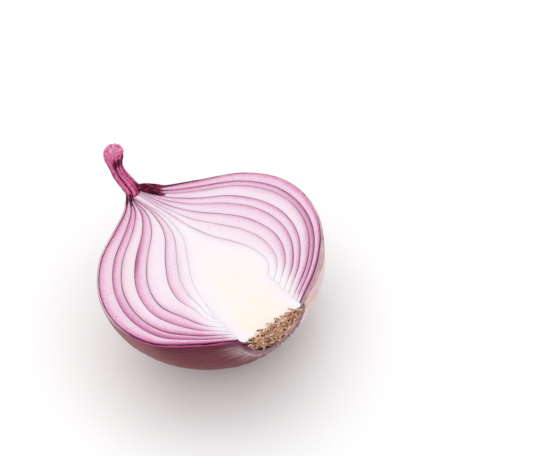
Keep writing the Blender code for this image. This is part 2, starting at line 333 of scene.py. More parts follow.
def tint(tree, share, first, second):
    """Mix two colours by a share."""
    made = put(tree, "ShaderNodeMix", {0: share}, data_type="RGBA", clamp_factor=True)
    for socket, colour in ((6, first), (7, second)):
        if isinstance(colour, bpy.types.NodeSocket):
            tree.links.new(colour, made.inputs[socket])
        else:
            made.inputs[socket].default_value = colour
    return made.outputs[2]


def value_of(tree, label):
    """A number that the mesh carries."""
    return put(tree, "ShaderNodeAttribute", attribute_name=label).outputs["Fac"]


def speckle(tree, vector, scale, detail=3.0, roughness=0.55):
    """Noise from 0 to 1."""
    values = {"Vector": vector, "Scale": scale, "Detail": detail, "Roughness": roughness}
    return put(tree, "ShaderNodeTexNoise", values).outputs["Fac"]


def place(tree):
    """The point's place on the object, in metres."""
    return put(tree, "ShaderNodeTexCoord").outputs["Object"]


def triple(tree, x, y, z=0.0):
    """Three values as a vector."""
    return put(tree, "ShaderNodeCombineXYZ", {0: x, 1: y, 2: z}).outputs[0]


def new_finish(name):
    """A material with its shader, ready for a colour."""
    finish = bpy.data.materials.new(name)
    finish.use_nodes = True
    return finish, finish.node_tree, finish.node_tree.nodes["Principled BSDF"]


def raise_bump(tree, shader, height, distance, strength=1.0):
    """Let a height pattern tilt the surface."""
    values = {"Height": height, "Distance": distance, "Strength": strength}
    bump = put(tree, "ShaderNodeBump", values)
    tree.links.new(bump.outputs[0], shader.inputs["Normal"])


# %% [markdown]
# ## The flesh's finish
#
# Onion flesh is wet, pale and slightly see-through. Each scale is pinkest next to its outer side,
# where the purple skin bleeds into it, and whitest at its inner side. So the colour is a function
# of the distance from the outer face, which the mesh carries in millimetres. That gives a crisp
# purple line of a fixed width, however coarse the mesh is. Stains, dried tips and the cream colour
# near the stem disc are carried by the mesh too, because they sit at particular places.

# %% Flesh material
FLESH_PAINT = {
    "white": seen(254, 247, 252), "cream": seen(255, 247, 235), "pink": seen(226, 134, 188),
    "stain": seen(178, 46, 130), "shade": seen(164, 88, 132), "line": seen(128, 34, 84),
    "dried dark": seen(52, 8, 22), "dried red": seen(120, 30, 62),
}
FLESH_DEPTH = 0.0016
FLESH_COLOUR_DEPTHS = (1.0, 0.7, 0.75)
FLESH_GRAIN = 0.00008


def flesh_finish():
    finish, tree, shader = new_finish("onion flesh")
    outer, inner = value_of(tree, "outer_mm"), value_of(tree, "inner_mm")
    blush, cream = value_of(tree, "blush"), value_of(tree, "cream")
    stain, dry, line = value_of(tree, "stain"), value_of(tree, "dry"), value_of(tree, "line")
    where = place(tree)
    cloud = speckle(tree, where, 160.0, 3.0)
    across = calc(tree, "DIVIDE", outer, calc(tree, "ADD", outer, calc(tree, "ADD", inner, 0.01)))
    ragged = calc(tree, "MULTIPLY_ADD", cloud, 0.5, calc(tree, "SUBTRACT", across, 0.25))
    near = remap(tree, ragged, 0.0, 0.7, 1.0, 0.0)
    fine = speckle(tree, where, 1400.0, 2.0)
    pink = calc(tree, "MULTIPLY", blush, calc(tree, "MULTIPLY_ADD", near, 0.75, 0.7))
    pink = calc(tree, "MULTIPLY", pink, calc(tree, "MULTIPLY_ADD", fine, 1.1, 0.45))
    mottled = calc(tree, "MULTIPLY", cream, remap(tree, cloud, 0.3, 0.7, 0.6, 1.25))
    colour = tint(tree, mottled, FLESH_PAINT["white"], FLESH_PAINT["cream"])
    colour = tint(tree, pink, colour, FLESH_PAINT["pink"])
    colour = tint(tree, stain, colour, FLESH_PAINT["stain"])
    shade = calc(tree, "MULTIPLY", remap(tree, outer, 0.1, 1.5, 0.3, 0.0), line)
    colour = tint(tree, shade, colour, FLESH_PAINT["shade"])
    uneven = calc(tree, "MULTIPLY", line, remap(tree, cloud, 0.3, 0.6, 0.7, 1.0))
    edge = calc(tree, "MULTIPLY_ADD", fine, 0.2, outer)
    skin = calc(tree, "MULTIPLY", remap(tree, edge, 0.16, 0.48, 1.0, 0.0), uneven)
    colour = tint(tree, skin, colour, FLESH_PAINT["line"])
    dried = tint(tree, cloud, FLESH_PAINT["dried dark"], FLESH_PAINT["dried red"])
    colour = tint(tree, dry, colour, dried)
    tree.links.new(colour, shader.inputs["Base Color"])
    rough = remap(tree, cloud, 0.3, 0.7, 0.26, 0.42)
    tree.links.new(rough, shader.inputs["Roughness"])
    shader.inputs["Subsurface Weight"].default_value = 0.25
    shader.inputs["Subsurface Radius"].default_value = FLESH_COLOUR_DEPTHS
    shader.inputs["Subsurface Scale"].default_value = FLESH_DEPTH
    shader.inputs["Coat Weight"].default_value = 0.12
    shader.inputs["Coat Roughness"].default_value = 0.2
    cells = speckle(tree, where, 2200.0, 2.0)
    grain = calc(tree, "ADD", cells, calc(tree, "MULTIPLY", cloud, 0.6))
    raise_bump(tree, shader, grain, FLESH_GRAIN, 0.5)
    return finish


FLESH = flesh_finish()
print("made", FLESH.name, "with", len(FLESH.node_tree.nodes), "nodes")

# %% [markdown]
# ## The seven fleshy scales
#
# Each scale sits between two faces. On the cut face a knife leaves tiny steps: a scale bulges a
# little where its full cells swell, and its edges round off into the groove beside it. So the rings
# are real relief as well as paint. The lines fade towards the stem disc and in the heart. Each of
# the lists below runs from the outermost face or scale to the innermost.

# %% Where each line is strong, and where the flesh is pink
GROOVE = (0.1, 0.08, 0.08, 0.07, 0.07, 0.06, 0.04, 0.02)
HALF_GAP = (0.1, 0.04, 0.04, 0.04, 0.035, 0.035, 0.03, 0.02)
NECK_BLUSH = 0.25
LINE_PLACES = (0.1, 0.5, 0.85)
LINE_STRENGTH = {
    "full": ((0.5, 0.06, 0.6), (0.85, 0.8, 0.9), (0.8, 0.75, 0.9), (0.7, 0.8, 0.75),
             (0.75, 0.95, 0.85), (0.65, 0.95, 0.7), (0.5, 0.85, 0.45), (0.25, 0.5, 0.12)),
    "lean": ((0.9, 0.45, 1.0), (0.9, 0.8, 1.0), (0.9, 0.75, 0.9), (0.8, 0.75, 0.8),
             (0.6, 0.85, 0.8), (0.6, 0.8, 0.65), (0.35, 0.16, 0.1), (0.3, 0.02, 0.0)),
}
DISC_FADE = (0.0, 0.15, 0.4, 0.8, 0.95, 1.0, 1.0, 1.0)
DISC_GLOW = 10.0
DISC_RIM = 4.5
RIM_GLOW = 0.88
BLUSH = {
    "full": (0.66, 0.78, 0.34, 0.48, 0.42, 0.36, 0.22),
    "lean": (0.56, 0.74, 0.3, 0.6, 0.2, 0.4, 0.1),
}
ROOTWARD_BLUSH = {
    "full": (0.08, 0.05, 0.25, 0.1, 0.1, 0.1, 0.1),
    "lean": (0.26, 0.15, 0.5, 0.2, 0.4, 0.1, 0.1),
}
ROOTWARD = (8.0, 34.0)
NECKWARD = (52.0, 66.0)
DISC_RADIUS = 12.17
EDGE_TURN = 0.022
TURNS = np.concatenate([[0], np.linspace(EDGE_TURN, math.pi - EDGE_TURN, 46), [math.pi]])


def by_side(full_value, lean_value, turns):
    """Blend a row of values for the fuller side into one for the leaner side, over the turns."""
    share = (1 - np.cos(turns)) / 2
    return full_value[:, None] * (1 - share) + lean_value[:, None] * share


def glow(line, number):
    """1 at the stem disc, fading to 0 away from it, row by row of a line."""
    low = 1 - ease(line[:, 0], 18.0, 30.0)
    wide = (1 - ease(line[:, 1] - DISC_RADIUS, 0.5, DISC_GLOW)) * DISC_FADE[number]
    close = RIM_GLOW * (1 - ease(line[:, 1] - DISC_RADIUS, 0.0, DISC_RIM)) * (number > 0)
    return np.maximum(wide, close) * low


def line_strength(number, side, line):
    """How dark the purple skin of a face is, row by row."""
    position = np.linspace(0, 1, len(line))
    strength = np.interp(position, LINE_PLACES, LINE_STRENGTH[side][number])
    return strength * (1 - glow(line, number))


# %% Stains and dried tips
STAINS = (  # scale, side, height, half length, depth, strength; sizes in mm
    (4, "lean", 47.5, 5.2, 1.7, 1.0), (2, "full", 24.0, 16.0, 9.0, 0.42),
    (2, "lean", 30.0, 9.0, 9.0, 0.24), (2, "lean", 20.0, 6.0, 1.4, 0.5),
    (1, "full", 58.0, 4.0, 0.8, 0.3), (2, "full", 57.0, 6.0, 0.8, 0.5),
    (3, "full", 47.0, 8.0, 1.0, 0.2), (7, "lean", 38.0, 9.0, 2.4, 0.18),
    (5, "full", 40.0, 7.0, 1.2, 0.2), (1, "lean", 12.0, 9.0, 0.8, 0.35),
)
DRIED = (  # scale, side, height of the point, width in mm
    (1, "full", 63.0, 1.8), (2, "full", 62.6, 1.5), (3, "full", 61.6, 1.6), (4, "full", 66.5, 0.9),
    (1, "lean", 66.0, 0.8), (2, "lean", 64.0, 0.9), (3, "lean", 66.5, 0.6), (5, "lean", 66.0, 0.5),
)
DRIED_LENGTH, DRIED_POWER, DRIED_EDGE = 5.0, 0.7, 0.12


def marks(number, side, height, depth):
    """How stained a scale is, from the bulb's height and the depth below its outer face."""
    total = np.zeros_like(height)
    for scale, where, middle, half, reach, strength in STAINS:
        if (scale, where) == (number, side):
            along = np.exp(-((height - middle) / half) ** 2)
            total += strength * along * np.exp(-(depth / reach) ** 2)
    return total.clip(0, 1)


def dryness(number, side, height, depth):
    """Dark dried tips: pointed streaks along the outer face, widest at the neck."""
    total = np.zeros_like(height)
    for scale, where, point, width in DRIED:
        if (scale, where) == (number, side):
            reach = width * ((height - point) / DRIED_LENGTH).clip(0, 1) ** DRIED_POWER
            streak = ease(reach - depth, -DRIED_EDGE, DRIED_EDGE)
            total = np.maximum(total, streak * (reach > 0))
    return total


def on_each_half(pattern, number, height, depth):
    """A pattern of the fuller side on one half of a scale, and of the leaner on the other."""
    full, lean = (pattern(number, side, height, depth) for side in SIDES)
    return np.where((TURNS < math.pi / 2)[None, :, None], full, lean)


# %% One scale
CUT_SHARES = np.array([0, 0.02, 0.05, 0.1, 0.17, 0.28, 0.42, 0.58, 0.72, 0.83, 0.9, 0.95, 0.98, 1])
GROOVE_WIDTH = 0.17
SWELL = 0.16
LEVEL = (0.0, 0.06, -0.05, 0.08, -0.03, 0.07, -0.02, 0.03)
RIPPLE, RIPPLE_PACE = 0.06, 31
CALM = (0.86, 0.99)
FLESH_FLOOR = 0.95
NEAR_ROOT = (10.0, 26.0)
SCALE_CREAM = 0.1


def cut_relief(number, share, thickness):
    """How high a scale's cut edges stand over the knife's plane, in millimetres."""
    depth = thickness * share
    relief = SWELL * 4 * share * (1 - share) + LEVEL[number]
    relief = relief - GROOVE[number - 1] * np.exp(-depth / GROOVE_WIDTH)
    relief = relief - GROOVE[number] * np.exp(-(thickness - depth) / GROOVE_WIDTH)
    position = np.linspace(0, 1, ROWS)[:, None, None]
    relief = relief + RIPPLE * np.sin(position * RIPPLE_PACE + number)
    cut = np.zeros((1, len(TURNS), 1))
    cut[:, (0, -1)] = 1
    return relief * (1 - ease(position, *CALM)) * cut


def scale_values(number, outside, height, depth):
    """What the finish needs to know of a scale, by the names that it reads."""
    strength = by_side(*(line_strength(number - 1, s, outside[s]) for s in SIDES), TURNS)
    near_disc = by_side(*(glow(outside[s], number) for s in SIDES), TURNS)[:, :, None]
    lean_share = ((1 - np.cos(TURNS)) / 2)[None, :, None]
    rootward = 1 - ease(height, *ROOTWARD)
    blush = sum((BLUSH[s][number - 1] + ROOTWARD_BLUSH[s][number - 1] * rootward) * part
                for s, part in (("full", 1 - lean_share), ("lean", lean_share)))
    blush = (blush + NECK_BLUSH * ease(height, *NECKWARD)) * (1 - near_disc)
    return {"line": strength[:, :, None], "blush": blush,
            "cream": SCALE_CREAM * near_disc * (1 - ease(height, *NEAR_ROOT)),
            "stain": on_each_half(marks, number, height, depth),
            "dry": on_each_half(dryness, number, height, depth)}


def fleshy_scale(number):
    """One thick leaf between faces number - 1 and number."""
    outside = {s: even_rows(face_line(number - 1, s, -HALF_GAP[number - 1])) for s in SIDES}
    inside = {s: even_rows(face_line(number, s, HALF_GAP[number])) for s in SIDES}
    outer, inner = (sweep(lines["full"], lines["lean"], TURNS) for lines in (outside, inside))
    share = CUT_SHARES[None, None, :]
    lattice = outer[:, :, None] * (1 - share[..., None]) + inner[:, :, None] * share[..., None]
    thick = [np.linalg.norm(outside[s] - inside[s], axis=1) for s in SIDES]
    thickness = by_side(*thick, TURNS)[:, :, None]
    lattice[..., 2] += cut_relief(number, share, thickness) * MM
    lattice[..., 2] = lattice[..., 2].clip(FLESH_FLOOR * MM)
    first, last = (by_side(lines["full"][:, 0], lines["lean"][:, 0], TURNS)[..., None]
                   for lines in (outside, inside))
    depth = thickness * share
    values = scale_values(number, outside, first * (1 - share) + last * share, depth)
    values.update(outer_mm=depth, inner_mm=thickness - depth)
    piece = block_piece(f"fleshy_scale_{number}", lattice, FLESH, values)
    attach(piece, "root")
    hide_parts(f"scale_{number}")
    return piece


for number in range(1, SCALES + 1):
    report(fleshy_scale(number))

# %% [markdown]
# ## The heart
#
# The heart is the youngest leaves and the stem disc together. They are one pale mass, so the piece
# is one body: a thin egg near the neck that widens into the disc at the root. Its cut face is a
# single sheet from one side to the other, right above the round underside.

# %% Heart
DISC_FOOT = {"full": 10.8, "lean": 9.4}
DISC_BEVEL = {"full": 1.1, "lean": 2.1}
DISC_RAG = 0.28
RAG_HEIGHT = 2.5
WALL_ROWS = 14
BEND_ROWS = 8
HEART_TURNS = np.linspace(0, math.pi, 61)
HEART_SWELL = 0.12
HEART_BLUSH, FOOT_BLUSH = 0.22, 0.12
CREAM_HEIGHT = (2.0, 52.0)
CREAM_DEPTH = (0.3, 7.5)


def heart_line(side):
    """The heart's outline: the innermost face, the disc's straight wall, its rounded foot."""
    line = even_rows(face_line(SCALES, side, -HALF_GAP[SCALES]))
    bevel, foot = DISC_BEVEL[side], DISC_FOOT[side]
    wall = np.linspace((line[-1, 0], DISC_RADIUS), (bevel, DISC_RADIUS), WALL_ROWS)
    bend = np.linspace(0.12, 1, BEND_ROWS) * math.pi / 2
    low = bevel * (1 - np.sin(bend))
    narrow = DISC_RADIUS + (foot - DISC_RADIUS) * (1 - np.cos(bend))
    return np.vstack([line, wall, np.stack([low, narrow], 1)])


def heart_values(lines, height, depth, radius):
    """What the finish needs to know of the heart, by the names that it reads."""
    strength = by_side(*(line_strength(SCALES, s, lines[s][:ROWS]) for s in SIDES), HEART_TURNS)
    strength = np.vstack([strength, np.zeros((len(height) - ROWS, len(HEART_TURNS)))])
    full_share = (1 + np.cos(HEART_TURNS)[None]) / 2
    blush = HEART_BLUSH * np.exp(-depth / 2.5) * ease(height, 20.0, 36.0) * (1 + full_share) / 2
    blush = blush + NECK_BLUSH * ease(height, 46.0, 64.0)
    at_foot = (1 - ease(height, 14.0, 30.0)) * ease(height, 1.0, 5.0)
    blush = blush + FOOT_BLUSH * np.exp(-depth / 1.5) * at_foot
    cream = (1 - ease(height, *CREAM_HEIGHT)) * ease(depth, *CREAM_DEPTH)
    zero = np.zeros_like(height)
    same = {"stain": zero, "dry": zero, "line": strength, "blush": blush, "cream": cream}
    values = {label: np.stack([value, value], 2) for label, value in same.items()}
    values["outer_mm"] = np.stack([zero, depth], 2)
    values["inner_mm"] = np.stack([radius + zero, radius - depth], 2)
    return values


def heart_piece():
    lines = {side: heart_line(side) for side in SIDES}
    under = sweep(lines["full"], lines["lean"], HEART_TURNS)
    height, side, radius = half_circles(lines["full"], lines["lean"], HEART_TURNS)
    rag = DISC_RAG * (np.sin(1.9 * side + 1.0) + 0.6 * np.sin(4.7 * side))
    rag = (rag * (1 - ease(height, 0.0, RAG_HEIGHT))).clip(0)
    under[..., 0] -= rag * MM
    height = height + rag
    depth = radius * (1 - np.abs(np.cos(HEART_TURNS)[None]))
    swell = HEART_SWELL * np.sin(height / 7.0) * np.sin(side / 5.0 + 1.0)
    relief = swell * ease(depth, 0.0, 2.0) - GROOVE[SCALES] * np.exp(-depth / GROOVE_WIDTH)
    lattice = np.stack([under, world(height, side, CUT_HEIGHT + relief)], 2)
    values = heart_values(lines, height, depth, radius)
    piece = block_piece("onion_heart", lattice, FLESH, values)
    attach(piece, "root")
    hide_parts("heart")
    return piece


report(heart_piece())

# %% [markdown]
# ## The dry skin
#
# The outermost leaf has dried to paper. Fine veins run along it from neck to root, it is maroon
# over the belly and pale and streaky round the root, and it gathers in small pleats where it meets
# the stem disc. The veins and pleats move the mesh itself, so they also show along its edge.

# %% Skin material
SKIN_PAINT = {
    "maroon": seen(98, 16, 48), "brown maroon": seen(104, 36, 50), "magenta": seen(128, 14, 72),
    "brown": seen(132, 68, 70), "light tan": seen(182, 122, 122), "hair": seen(156, 84, 92),
    "vein": seen(70, 8, 34), "pale pink": seen(226, 180, 194), "pale": seen(255, 238, 236),
    "straw": seen(250, 216, 200), "fold": seen(140, 70, 108), "collar": seen(120, 66, 84),
    "wet edge": seen(94, 2, 46), "lip": seen(226, 172, 196), "purple lip": seen(186, 82, 134),
    "root lip": seen(130, 40, 84), "inside": seen(232, 190, 208), "dark inside": seen(88, 12, 38),
}


def lengthwise_noise(tree, turn, along, pace, stretch, scale, detail, roughness):
    """Streaks that run along a piece from neck to root."""
    across, along = calc(tree, "MULTIPLY", turn, pace), calc(tree, "MULTIPLY", along, stretch)
    return speckle(tree, triple(tree, across, along), scale, detail, roughness)


def belly_colour(tree, turn, height, rim, veins, hairs, cloud):
    """Maroon paper: browner on the leaner side, more magenta on the fuller one."""
    paint = SKIN_PAINT
    colour = tint(tree, remap(tree, cloud, 0.3, 0.7), paint["maroon"], paint["brown maroon"])
    colour = tint(tree, remap(tree, turn, 0.5, 1.7, 0.8, 0.0), colour, paint["magenta"])
    brown = calc(tree, "MULTIPLY", remap(tree, rim, 4.0, 26.0),
                 remap(tree, turn, 0.9, 2.2, 0.35, 1.0))
    colour = tint(tree, brown, colour, paint["brown"])
    # Lighter tan on the leaner side, higher up the bulb.
    tan_share = calc(tree, "MULTIPLY", remap(tree, height, 11.0, 26.0, 0.0, 0.6),
                 remap(tree, turn, 1.2, 2.4))
    colour = tint(tree, tan_share, colour, paint["light tan"])
    colour = tint(tree, remap(tree, hairs, 0.35, 0.75, 0.0, 0.5), colour, paint["hair"])
    return tint(tree, remap(tree, veins, 0.3, 0.5, 0.75, 0.0), colour, paint["vein"])


def root_colour(tree, turn, height, veins, cloud):
    """Pale paper round the root, with purple folds that run into the collar."""
    paint = SKIN_PAINT
    colour = tint(tree, remap(tree, veins, 0.36, 0.58), paint["pale pink"], paint["pale"])
    colour = tint(tree, remap(tree, cloud, 0.45, 0.7, 0.0, 0.7), colour, paint["straw"])
    fold = lengthwise_noise(tree, turn, height, 7.0, 0.03, 4.0, 3.0, 0.7)
    colour = tint(tree, remap(tree, fold, 0.36, 0.47, 0.85, 0.0), colour, paint["fold"])
    return tint(tree, remap(tree, height, -1.0, 0.5, 0.7, 0.0), colour, paint["collar"])


def skin_finish():
    finish, tree, shader = new_finish("dry onion skin")
    turn, height = value_of(tree, "turn"), value_of(tree, "height_mm")
    pale_to, layer = value_of(tree, "pale_to"), value_of(tree, "outer_mm")
    rim, dark = value_of(tree, "rim_mm"), value_of(tree, "line")
    veins = lengthwise_noise(tree, turn, height, 30.0, 0.05, 2.2, 6.0, 0.72)
    hairs = lengthwise_noise(tree, turn, height, 30.0, 0.05, 9.0, 3.0, 0.7)
    cloud = speckle(tree, place(tree), 70.0, 4.0)
    ragged = calc(tree, "MULTIPLY_ADD", veins, 22.0, calc(tree, "MULTIPLY_ADD", cloud, 6.0, -14.0))
    border = calc(tree, "SUBTRACT", calc(tree, "ADD", height, ragged), pale_to)
    belly = belly_colour(tree, turn, height, rim, veins, hairs, cloud)
    pale = root_colour(tree, turn, height, veins, cloud)
    colour = tint(tree, remap(tree, border, -4.0, 5.0), pale, belly)
    wet = calc(tree, "MULTIPLY", dark, remap(tree, rim, 0.4, 5.5, 0.85, 0.0))
    wet = calc(tree, "MULTIPLY", wet, remap(tree, height, 13.0, 21.0, 1.0, 0.0))
    colour = tint(tree, wet, colour, SKIN_PAINT["wet edge"])
    lip = tint(tree, dark, SKIN_PAINT["lip"], SKIN_PAINT["purple lip"])
    lip = tint(tree, remap(tree, height, 1.5, 6.0, 0.9, 0.0), lip, SKIN_PAINT["root lip"])
    colour = tint(tree, remap(tree, rim, 0.1, 0.42, 1.0, 0.0), colour, lip)
    within = tint(tree, dark, SKIN_PAINT["inside"], SKIN_PAINT["dark inside"])
    colour = tint(tree, remap(tree, layer, 0.26, 0.36), colour, within)
    tree.links.new(colour, shader.inputs["Base Color"])
    tree.links.new(remap(tree, veins, 0.3, 0.7, 0.4, 0.55), shader.inputs["Roughness"])
    shader.inputs["Specular IOR Level"].default_value = 0.18
    relief = calc(tree, "ADD", veins, calc(tree, "MULTIPLY", hairs, 0.5))
    raise_bump(tree, shader, relief, 0.0002, 0.8)
    return finish


SKIN = skin_finish()

# %% [markdown]
# The skin ends in a collar that turns in under the stem disc and cups the roots. Near the root it
# bulges and stands off the flesh in three loose places. It has three layers of points, so its cut
# edge shows a thin double line: a pale or purple lip outside, and the dried side within. The paper
# has shrunk a little below the flesh along its whole edge, most on the fuller side.

# %% Skin shell
SKIN_OUT = 0.66
SKIN_IN = 0.14
RIM_TURNS = np.array([0, 0.006])
BELLY_TURNS = np.linspace(0.02, math.pi - 0.02, 236)
SKIN_TURNS = np.concatenate([RIM_TURNS, BELLY_TURNS, math.pi - RIM_TURNS[::-1]])
LAYER_FLOORS = (0.0, 0.33, 0.65)
LAYER_DEPTHS = (0.0, 0.3, 0.62)
COLLAR_PATH = ((0.35, 12.25), (-0.35, 11.9), (-0.75, 11.2), (-0.85, 10.5))
COLLAR_ROWS = 18
COLLAR_TUCK = 0.2
ROOT_BULGE = 0.9
BULGE_RADIUS = 13.5
BULGE_REACH = 5.0


def skin_lines(side, distance):
    """The skin's outline on one side, with the collar that turns in under the stem disc."""
    line = even_rows(face_line(0, side, distance))
    collar = np.array(COLLAR_PATH) + (0, distance - SKIN_IN)
    collar[:, 0] -= (distance - SKIN_IN) * np.linspace(0, 1, len(collar))
    return np.vstack([line, smooth_curve(np.vstack([line[-1], collar]), COLLAR_ROWS + 1)[1:]])


def round_the_root(points, height, width, turns):
    """Push the skin out round the roots, and draw the collar in below them."""
    sine = np.sin(turns).clip(0)[None]
    bulge = ROOT_BULGE * np.exp(-((width - BULGE_RADIUS) / BULGE_REACH) ** 2)
    points[..., 0] += bulge * ease(sine, 0.1, 0.8) * (1 - ease(height, 15.0, 25.0)) * MM
    collar = (np.arange(len(points)) >= ROWS)[:, None]
    inward = np.linspace(0, 1, COLLAR_ROWS)
    share = np.concatenate([np.zeros(ROWS), inward])[:, None]
    draw = 1 - COLLAR_TUCK * share * sine ** 1.5 * collar
    points[..., 1] = (points[..., 1] / MM + REST_SIDE) * draw * MM - REST_SIDE * MM
    points[..., 2] = (CUT_HEIGHT - (CUT_HEIGHT - points[..., 2] / MM) * draw) * MM
    return points


# %% Where the skin is loose, veined and pleated
LOOSE = (  # size, height, reach along, turn, reach round
    (1.9, 9.0, 8.0, 0.45, 0.65), (1.0, 9.0, 7.0, 1.3, 0.5), (1.3, 9.0, 8.0, 2.0, 0.5),
)
VEINS = ((23, 0.5), (41, 0.3), (77, 0.25), (113, 0.15))
VEIN_HEIGHT = 0.06
PLEAT_LIMIT = 0.24
RIM_WAVES = ((37, 0.14), (83, 0.1), (171, 0.05))
SHRINK = {"full": 0.9, "lean": 0.1}
SAG = 1.1


def looseness(height, turn):
    """How far the dry skin stands off the flesh near the root, in millimetres."""
    return sum(size * np.exp(-((height - middle) / reach) ** 2 - ((turn - centre) / spread) ** 2)
               for size, middle, reach, centre, spread in LOOSE)


def skin_veins(turn, height, width):
    """Fine veins over the belly and pleats round the root, in millimetres."""
    veins = np.zeros_like(height)
    for i, (number, size) in enumerate(VEINS):
        veins += size * np.sin(number * turn + 0.35 * np.sin(height / 9.0 + i) + i)
    veins *= VEIN_HEIGHT * ease(width, 3.0, 20.0)
    pleats = 0.2 * np.sin(31 * turn + 1.5 * np.sin(5 * turn)) * (1 - ease(height, 0.0, 12.0))
    pleats += 0.12 * np.sin(53 * turn + 2.0) * (1 - ease(height, 0.0, 18.0))
    return (veins + pleats).clip(-PLEAT_LIMIT, PLEAT_LIMIT)


def skin_layers(lines, height, width, turn):
    """The outer, middle and inner layer of the skin's points."""
    outer, inner = (round_the_root(sweep(lines["full"][i], lines["lean"][i], SKIN_TURNS),
                                   height, width, SKIN_TURNS) for i in (0, 1))
    outward = outer - inner
    outward /= np.linalg.norm(outward, axis=2)[..., None].clip(1e-9)
    resting = ease(outer[..., 2] / MM, 0.6, 4.0)
    calm = ease(np.minimum(turn, math.pi - turn), 0.0, 0.05)
    lift = (skin_veins(turn, height, width) * calm + looseness(height, turn)) * resting
    outer = outer + outward * lift[..., None] * MM
    lattice = np.stack([outer, (outer + inner) / 2, inner], 2)
    lattice[..., 2] = np.maximum(lattice[..., 2], np.array(LAYER_FLOORS) * MM)
    return lattice


def shrink_rim(lattice, height, turn):
    """Draw the skin's cut edge back below the flesh."""
    position = np.linspace(0, 1, len(lattice))
    wave = sum(size * np.sin(pace * position + size) for pace, size in RIM_WAVES)[:, None]
    near_full = 1 - ease(turn, 0.0, 0.03)
    near_lean = ease(turn, math.pi - 0.02, math.pi)
    shrunk = (wave - SHRINK["full"]) * near_full + (wave - SHRINK["lean"]) * near_lean
    sag = -SAG * looseness(height, turn) * near_full
    lattice[..., 2] += (shrunk[..., None] + sag[..., None] * np.array([1.0, 0.5, 0.0])) * MM


def skin_piece():
    lines = {s: [skin_lines(s, distance) for distance in (SKIN_OUT, SKIN_IN)] for s in SIDES}
    height, width = (by_side(*(lines[s][0][:, i] for s in SIDES), SKIN_TURNS) for i in (0, 1))
    turn = np.broadcast_to(SKIN_TURNS[None], height.shape)
    lattice = skin_layers(lines, height, width, turn)
    shrink_rim(lattice, height, turn)
    rim = (CUT_HEIGHT - lattice[..., 2] / MM - 0.2).clip(0)
    lean_share = ease(turn, math.pi / 2 - 0.3, math.pi / 2 + 0.3)
    dark = lean_share * (1 - ease(height, 24.0, 36.0)) * 0.95 + 0.05
    pale_to = 2.0 + 17.0 * (1 - ease(turn, 0.5, 1.5)) + 70.0 * (1 - ease(turn, 0.02, 0.11))
    values = {"turn": turn[..., None], "height_mm": height[..., None], "rim_mm": rim,
              "outer_mm": np.array(LAYER_DEPTHS)[None, None], "line": dark[..., None],
              "pale_to": pale_to[..., None]}
    piece = block_piece("papery_skin", lattice, SKIN, values)
    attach(piece, "root")
    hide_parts("dry_skin")
    return piece


report(skin_piece())

# %% [markdown]
# ## The dried neck
#
# Above the bulb the leaves have dried and twisted together into a stub that curls up and ends in a
# knob. It is a tube along a smooth path. Creases run along it, so each ring of the tube is pulled
# in where a crease passes, and the depth of the crease is kept as an attribute, because the finish
# paints shade into the creases by their depth. The same attribute carries painted shade on the
# knob's side away from the lamp. The same tube, flattened and drawn to a point, makes the dark
# dried tips of the outer scales, which lie on the cut face at the neck's foot. Stub and tips are
# one dried mass, so their tubes are joined into one piece.

# %% Neck material
# The crease colour is painted shade. It goes into the creases of the stub and the tips, and onto
# the knob's side away from the lamp.
NECK_PAINT = {
    # fold and the pale ridge colour paint the fibre streaks: partly the leaf's own colour, partly
    # painted shade in low fibres and painted highlight on raised ones.
    "fold": seen(172, 6, 86), "pale ridge and highlight": seen(255, 140, 192), "crease": seen(108, 0, 48),
    "tip": seen(222, 84, 142), "pale tip": seen(255, 212, 230),
    "burnt": seen(58, 0, 20), "red": seen(176, 40, 92),
}


def neck_finish():
    finish, tree, shader = new_finish("dried neck")
    crease, tip, dark = value_of(tree, "crease"), value_of(tree, "tip"), value_of(tree, "dark")
    turn, along = value_of(tree, "turn"), value_of(tree, "along_mm")
    where = place(tree)
    grit = speckle(tree, where, 1500.0, 3.0, 0.8)
    fibres_and_painted_light = lengthwise_noise(tree, turn, along, 2.4, 0.14, 4.0, 5.0, 0.75)
    fibres_and_painted_light = calc(tree, "MULTIPLY_ADD", grit, 0.45, calc(tree, "SUBTRACT", fibres_and_painted_light, 0.225))
    cloud = speckle(tree, where, 420.0, 4.0)
    blotch = speckle(tree, where, 900.0, 3.0, 0.7)
    paint = NECK_PAINT
    # The fibre streaks are partly the leaf's own colour and partly painted light. The pale colour
    # sits where the bump stands up, as a painted highlight, and the fold colour sits where it
    # sinks, as painted shade.
    colour = tint(tree, remap(tree, fibres_and_painted_light, 0.39, 0.52), paint["fold"], paint["pale ridge and highlight"])
    # Painted shade: darker the deeper the crease, and on the knob's side away from the lamp.
    colour = tint(tree, remap(tree, crease, 0.2, 0.62), colour, paint["crease"])
    pale = tint(tree, remap(tree, blotch, 0.42, 0.6), paint["tip"], paint["pale tip"])
    colour = tint(tree, tip, colour, pale)
    burnt = tint(tree, remap(tree, blotch, 0.47, 0.62), paint["burnt"], paint["red"])
    colour = tint(tree, dark, colour, burnt)
    tree.links.new(colour, shader.inputs["Base Color"])
    shader.inputs["Roughness"].default_value = 0.55
    shader.inputs["Specular IOR Level"].default_value = 0.1
    relief = calc(tree, "ADD", fibres_and_painted_light, calc(tree, "MULTIPLY", cloud, 0.6))
    raise_bump(tree, shader, relief, 0.0004, 0.9)
    return finish


NECK = neck_finish()

# %% A creased tube along a path
CREASE_PULL = 0.17
CREASE_SWING = 0.5
COARSE_PACE, FINE_PACE = 620.0, 1700.0
START_BULGE, STOP_BULGE = 0.1, 0.3


def tube_frames(path):
    """Directions along, under and across a path that lies nearly in one upright plane."""
    along = np.gradient(path, axis=0)
    along /= np.linalg.norm(along, axis=1)[:, None]
    under = np.cross(along, (0, 1, 0))
    under /= np.linalg.norm(under, axis=1)[:, None]
    return along, under, np.cross(under, along)


def rough(points, pace, seed):
    """Soft noise from -1 to 1 at each point."""
    shift = Vector((seed * 7.3, seed * 3.1, seed * 5.7))
    flat = [noise.noise(Vector(point) * pace + shift) for point in points.reshape(-1, 3)]
    return np.array(flat).reshape(points.shape[:-1])


